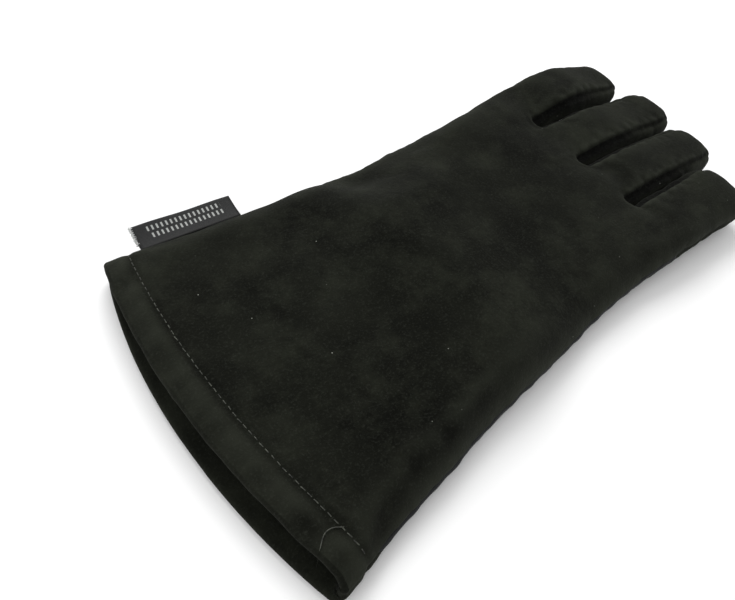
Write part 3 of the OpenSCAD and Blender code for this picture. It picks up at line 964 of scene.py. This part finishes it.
def bend_thumb(piece, part):
    if part == "base":
        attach(piece, "thumb_base")
    else:
        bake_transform(piece, "thumb_base", "thumb_tip", ((curl_x - thumb_fold) * MM, 0, 0.01),
                 ((curl_x + thumb_fold) * MM, 0, 0.01))


for zone, part in ((0, "base"), (1, "tip")):
    for panel, words in ((BACK, "back"), (PALM, "front")):
        faces = stall_quads[(stall_zone == zone) & (stall_panel == panel)]
        piece = leather_piece(f"thumb_{part}_{words}_leather", faces, THUMB_T, suede,
                              stall_skin, stall_normals, stall_wear_and_shade)
        bend_thumb(piece, part)
        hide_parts(f"thumb_{part}_{words}")

# ---- Lining ----
# A brushed cotton bag the shape of the glove, lying loose against the inside of the leather.

cotton, tree, shader, place = dress("grey_cotton")
brushed = applied(tree, mottling, Place=place, Scale=700, Detail=3, Roughness=0.6, From=0.35,
                  To=0.65, Share=1.0, Dark=(0.010, 0.010, 0.011, 1), Pale=(0.030, 0.030, 0.032, 1))
tree.links.new(brushed["Colour"], shader.inputs["Base Color"])
shader.inputs["Roughness"].default_value = 0.95
shader.inputs["Sheen Weight"].default_value = 0.15
roughen(tree, shader, brushed["Cloud"], 0.5, 0.0004)

LINING_T = 0.7
lining_skin = skin - normals * 2.0
from_mouth = middle_x > mouth_x + 9
piece = leather_piece("gauntlet_lining", skin_quads[in_gauntlet & from_mouth], LINING_T, cotton,
                      co=lining_skin)
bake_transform(piece, "cuff", "hand", bend_from, bend_to)
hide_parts("cuff_lining", "hand_lining")
for name, part, zone, bodies, bend in finger_parts():
    piece = leather_piece(f"{name}_{part}_cotton", skin_quads[zone_of == zone], LINING_T, cotton,
                          co=lining_skin)
    bend_finger(piece, bodies, bend)
    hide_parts(f"{name}_{part}_lining")
stall_lining = stall_skin - stall_normals * 1.6
for zone, part in ((0, "base"), (1, "tip")):
    piece = leather_piece(f"thumb_{part}_cotton", stall_quads[stall_zone == zone], LINING_T, cotton,
                          stall_lining, stall_normals, stall_wear_and_shade)
    bend_thumb(piece, part)
    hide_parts(f"thumb_{part}_lining")

# ---- Hem ----
# The cuff's leather is folded in round the mouth and held by one row of thread.

HEM_T = 1.5
edge_use = directed_edges(skin_quads[in_gauntlet])
next_on_rim = {a: b for a, b in edge_use if (b, a) not in edge_use and skin[a, 0] < mouth_x + 12}
rim = [next(iter(next_on_rim))]
while next_on_rim[rim[-1]] != rim[0]:
    rim.append(next_on_rim[rim[-1]])
rim = np.array(rim)
outward = np.roll(skin[rim], -1, 0) - np.roll(skin[rim], 1, 0)
outward /= np.linalg.norm(outward, axis=1)[:, None]
rim_normal = normals[rim]
away = np.cross(outward, rim_normal)
away *= np.sign(-away[:, :1])
away /= np.linalg.norm(away, axis=1)[:, None]
fold_r = 2.1
rows = []
for angle in np.linspace(0, math.pi, 9):
    direction = away * math.sin(angle) + rim_normal * math.cos(angle)
    rows.append(skin[rim] - rim_normal * fold_r + direction * fold_r)
for back in np.linspace(0, hem_seam + 2, 9)[1:]:
    rows.append(skin[rim] - rim_normal * (2 * fold_r + 0.13 * back) - away * back)
hem_skin = np.concatenate(rows)
n = len(rim)
hem_quads = []
for r in range(len(rows) - 1):
    for k in range(n):
        m = (k + 1) % n
        hem_quads.append((r * n + k, r * n + m, (r + 1) * n + m, (r + 1) * n + k))
hem_quads = np.array(hem_quads)
hem_normals = vertex_normals(hem_skin, hem_quads)
if (hem_normals[:n] * rim_normal).sum() < 0:
    hem_quads = hem_quads[:, ::-1]
    hem_normals = -hem_normals
hem_normals[:n] = rim_normal
piece = leather_piece("hem_fold", hem_quads, HEM_T, suede, hem_skin, hem_normals,
                      np.full(len(hem_skin), 0.15))
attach(piece, "cuff")
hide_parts("cuff_hem_turn_in")

# ---- Hem stitching ----
# Pale polyester thread in a lockstitch, pulled a little into the nap, round the whole hem.

thread, tree, shader, place = dress("grey_thread")
colour = applied(tree, mottling, Place=place, Scale=500, Detail=2, Roughness=0.5, From=0.35,
                 To=0.65, Share=1.0, Dark=(0.012, 0.013, 0.010, 1),
                 Pale=(0.075, 0.08, 0.062, 1))["Colour"]
tree.links.new(colour, shader.inputs["Base Color"])
shader.inputs["Roughness"].default_value = 0.7

stitch_r, stitch_len, stitch_step = 0.26, 2.5, 3.7
bpy.ops.object.select_all(action="DESELECT")
bpy.ops.mesh.primitive_cylinder_add(vertices=8, radius=stitch_r * MM, depth=stitch_len * MM,
                                    rotation=(0, math.pi / 2, 0))
stitch = bpy.context.object
bpy.ops.object.transform_apply(location=False, rotation=True, scale=False)
bpy.ops.object.mode_set(mode="EDIT")
bpy.ops.mesh.select_all(action="SELECT")
bpy.ops.mesh.bevel(offset=0.16 * MM, segments=2, affect="EDGES")
bpy.ops.mesh.select_all(action="SELECT")
bpy.ops.mesh.subdivide(number_cuts=1)
bpy.ops.object.mode_set(mode="OBJECT")
bpy.ops.object.shade_smooth()
stitch_points = coordinates(stitch.data) / MM
stitch_points[:, 2] -= 0.10 * stitch_points[:, 0] ** 2
stitch_faces = [tuple(f.vertices) for f in stitch.data.polygons]
bpy.data.objects.remove(stitch)
hide = BVHTree.FromPolygons([Vector(p) for p in skin], [tuple(f) for f in skin_quads.tolist()])


def on_hide(x, s, from_above):
    """The point of the cuff's leather above or below a place on the cut, and its normal."""
    cut_x = x + mouth_curve(x, s, 0 if from_above else down_side)
    high = section_place(cut_x, s - near_bulge(x), 60 if from_above else -60)
    hit = hide.ray_cast(Vector(high), Vector((0, 0, -1 if from_above else 1)))
    return np.array(hit[0]), np.array(hit[1])


verts, faces = [], []
for from_above in (True, False):
    width = section_width(mouth_x + hem_seam)
    for s in np.arange(6, width - 5, stitch_step):
        here, normal = on_hide(mouth_x + hem_seam, s, from_above)
        there, _ = on_hide(mouth_x + hem_seam, s + 1, from_above)
        forward = (there - here) / np.linalg.norm(there - here)
        sideways = np.cross(normal, forward)
        wander = noise.noise(Vector((s * 0.9, 7.0 if from_above else 3.0, 0.5)))
        forward = forward + sideways * 0.18 * wander
        forward /= np.linalg.norm(forward)
        sideways = np.cross(normal, forward)
        placed = (here + normal * 0.06 + sideways * 0.25 * wander
                  + stitch_points[:, :1] * forward * (1 + 0.25 * wander)
                  + stitch_points[:, 1:2] * sideways + stitch_points[:, 2:] * normal)
        faces += [tuple(v + len(verts) for v in f) for f in stitch_faces]
        verts += [tuple(p) for p in placed]
# Near the little-finger seam one end of the thread is left hanging over the hem.
tail_path, tail_ring, tail_len, tail_r = [], 6, 13.0, 0.22
for t in np.linspace(0, 1, 12):
    here, normal = on_hide(mouth_x + hem_seam + 0.5 - tail_len * t,
                           17 + 2.6 * math.sin(4.2 * t) + 3 * t, True)
    tail_path.append(here + normal * (0.3 + 0.5 * math.sin(math.pi * t)))
tail_path = np.array(tail_path)
tail_ahead = np.gradient(tail_path, axis=0)
tail_ahead /= np.linalg.norm(tail_ahead, axis=1)[:, None]
tail_side = np.cross(tail_ahead, (0, 0, 1))
tail_over = np.cross(tail_side, tail_ahead)
base = len(verts)
for p, side, over in zip(tail_path, tail_side, tail_over):
    for k in range(tail_ring):
        angle = math.tau * k / tail_ring
        verts.append(tuple(p + tail_r * (side * math.cos(angle) + over * math.sin(angle))))
for k in range(len(tail_path) - 1):
    for j in range(tail_ring):
        m = (j + 1) % tail_ring
        a = base + k * tail_ring
        faces.append((a + j, a + m, a + tail_ring + m, a + tail_ring + j))
faces.append(tuple(base + j for j in range(tail_ring))[::-1])
faces.append(tuple(len(verts) - tail_ring + j for j in range(tail_ring)))
row = mesh_object("hem_stitches", verts, faces)
face_outwards(row)
row.data.shade_smooth()
keep_place(row, coordinates(row.data))
row.data.materials.append(thread)
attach(row, "cuff")
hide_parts("hem_stitching")

# ---- Label ----
# A charcoal woven tape folded into a flat loop, its two cut ends caught in the far seam and
# its fold standing out. Its lettering is replaced by a plain woven row of marks.

woven = bpy.data.materials.new("woven_label")
woven.use_nodes = True
tree = woven.node_tree
shader = tree.nodes["Principled BSDF"]
tape = tree.nodes.new("ShaderNodeUVMap")
tape.uv_map = "tape"
weave = tree.nodes.new("ShaderNodeTexBrick")
weave.inputs["Scale"].default_value = 1.0
weave.inputs["Brick Width"].default_value = 0.9
weave.inputs["Row Height"].default_value = 0.35
weave.inputs["Mortar Size"].default_value = 0.07
weave.inputs["Color1"].default_value = (0.019, 0.020, 0.020, 1)
weave.inputs["Color2"].default_value = (0.030, 0.031, 0.031, 1)
weave.inputs["Mortar"].default_value = (0.006, 0.006, 0.006, 1)
tree.links.new(tape.outputs["UV"], weave.inputs["Vector"])
marks = tree.nodes.new("ShaderNodeTexBrick")
marks.inputs["Scale"].default_value = 1.0
marks.inputs["Brick Width"].default_value = 2.6
marks.inputs["Row Height"].default_value = 4.4
marks.inputs["Mortar Size"].default_value = 0.85
marks.inputs["Color1"].default_value = (1, 1, 1, 1)
marks.inputs["Color2"].default_value = (1, 1, 1, 1)
marks.inputs["Mortar"].default_value = (0, 0, 0, 1)
tree.links.new(tape.outputs["UV"], marks.inputs["Vector"])
apart = tree.nodes.new("ShaderNodeSeparateXYZ")
tree.links.new(tape.outputs["UV"], apart.inputs["Vector"])
inside = sum_of(tree, remap(tree, apart.outputs["Y"], 17.6, 17.7),
                remap(tree, apart.outputs["Y"], 26.4, 26.3), "MULTIPLY")
inside = sum_of(tree, inside, sum_of(tree, remap(tree, apart.outputs["X"], 7.0, 7.1),
                                     remap(tree, apart.outputs["X"], 49.0, 48.9), "MULTIPLY"),
                "MULTIPLY")
shown = sum_of(tree, inside, remap(tree, marks.outputs["Color"], 0.4, 0.6), "MULTIPLY")
colour = blended(tree, shown, weave.outputs["Color"], (0.36, 0.37, 0.36, 1))
tree.links.new(colour, shader.inputs["Base Color"])
shader.inputs["Roughness"].default_value = 0.6
shader.inputs["Specular IOR Level"].default_value = 0.2
roughen(tree, shader, weave.outputs["Fac"], 0.4, 0.0002).invert = True

seam_turn = -math.atan((cuff_flare - near_flare) / cuff_taper)
label_long, label_deep = 56.0, 14.5
label_along = Vector((math.cos(seam_turn), math.sin(seam_turn), 0))
label_out = Vector((-math.sin(seam_turn), math.cos(seam_turn), 0))
label_corner = Vector(joints["label_flap"]) - label_along * label_long / 2 + Vector((0, 0, -0.6))
profile = []
for k in range(13):
    profile.append((-0.6 + (label_deep - 0.3) * k / 12, 1.25))
for k in range(1, 6):
    turn = math.pi * k / 6
    profile.append((label_deep - 0.9 + 0.75 * math.sin(turn), 0.5 + 0.75 * math.cos(turn)))
for k in range(13):
    profile.append((label_deep - 0.9 - (label_deep - 0.3) * k / 12, -0.25))
profile = profile[::-1]
columns = 29
verts, faces, lengths = [], [], [0.0]
for k in range(1, len(profile)):
    lengths.append(lengths[-1] + math.dist(profile[k], profile[k - 1]))
for k, (out, lift) in enumerate(profile):
    for c in range(columns):
        share = c / (columns - 1)
        rise = 4.2 * (max(out, 0) / label_deep) ** 1.5 * (1 - 0.35 * share)
        ripple = 0.25 * math.sin(share * 9) * out / label_deep
        verts.append(tuple(label_corner + label_along * label_long * share
                           + label_out * (out - 0.25 * rise)
                           + Vector((0, 0, lift + rise + ripple))))
for k in range(len(profile) - 1):
    for c in range(columns - 1):
        a = k * columns + c
        faces.append((a, a + 1, a + columns + 1, a + columns))
label = mesh_object("woven_loop_label", verts, faces)
uv = label.data.uv_layers.new(name="tape")
for loop in label.data.loops:
    k, c = divmod(loop.vertex_index, columns)
    uv.data[loop.index].uv = (label_long * c / (columns - 1), lengths[k])
face_outwards(label)
tape_wall = label.modifiers.new("Tape", "SOLIDIFY")
tape_wall.thickness = 0.4 * MM
tape_wall.offset = 0
bpy.ops.object.modifier_apply(modifier="Tape")
bpy.ops.object.shade_smooth()
label.data.materials.append(woven)
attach(label, "label")
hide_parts("loop_label")

# ---- Frayed label end ----
# The tape is cut at its end nearest the mouth, where its white inner threads show.

white_thread, tree, shader, place = dress("white_thread")
colour = applied(tree, mottling, Place=place, Scale=900, Detail=2, Roughness=0.5, From=0.3, To=0.7,
                 Share=1.0, Dark=(0.35, 0.36, 0.35, 1), Pale=(0.72, 0.73, 0.72, 1))["Colour"]
tree.links.new(colour, shader.inputs["Base Color"])
shader.inputs["Roughness"].default_value = 0.8
bpy.ops.object.select_all(action="DESELECT")
bpy.ops.mesh.primitive_cone_add(vertices=6, radius1=0.26 * MM, radius2=0.12 * MM,
                                depth=2.2 * MM, rotation=(0, math.pi / 2, 0))
stub = bpy.context.object
bpy.ops.object.transform_apply(location=False, rotation=True, scale=False)
bpy.ops.object.mode_set(mode="EDIT")
bpy.ops.mesh.select_all(action="SELECT")
bpy.ops.mesh.subdivide(number_cuts=1)
bpy.ops.object.mode_set(mode="OBJECT")
stub_points = coordinates(stub.data) / MM
stub_faces = [tuple(f.vertices) for f in stub.data.polygons]
bpy.data.objects.remove(stub)
verts, faces = [], []
for k, (out, lift) in enumerate(profile):
    if out < 3.4:
        continue
    rise = 4.2 * (max(out, 0) / label_deep) ** 1.5
    here = np.array(label_corner + label_out * (out - 0.25 * rise) + Vector((0, 0, lift + rise)))
    for j in range(3):
        wander = [noise.noise(Vector((k * 1.7 + j * 5.1, m * 3.3, 0.4))) for m in range(3)]
        forward = np.array(-label_along) + 0.7 * np.array(wander)
        forward /= np.linalg.norm(forward)
        side = np.cross(forward, (0, 0, 1))
        side /= np.linalg.norm(side)
        over = np.cross(side, forward)
        length = 0.75 + 0.5 * wander[0]
        placed = (here + forward * 0.25 + np.array(label_out) * (j - 1) * 0.35
                  + stub_points[:, :1] * forward * length
                  + stub_points[:, 1:2] * side + stub_points[:, 2:] * over)
        faces += [tuple(v + len(verts) for v in f) for f in stub_faces]
        verts += [tuple(p) for p in placed]
fray = mesh_object("label_frayed_threads", verts, faces)
fray.data.shade_smooth()
keep_place(fray, coordinates(fray.data))
fray.data.materials.append(white_thread)
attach(fray, "label")
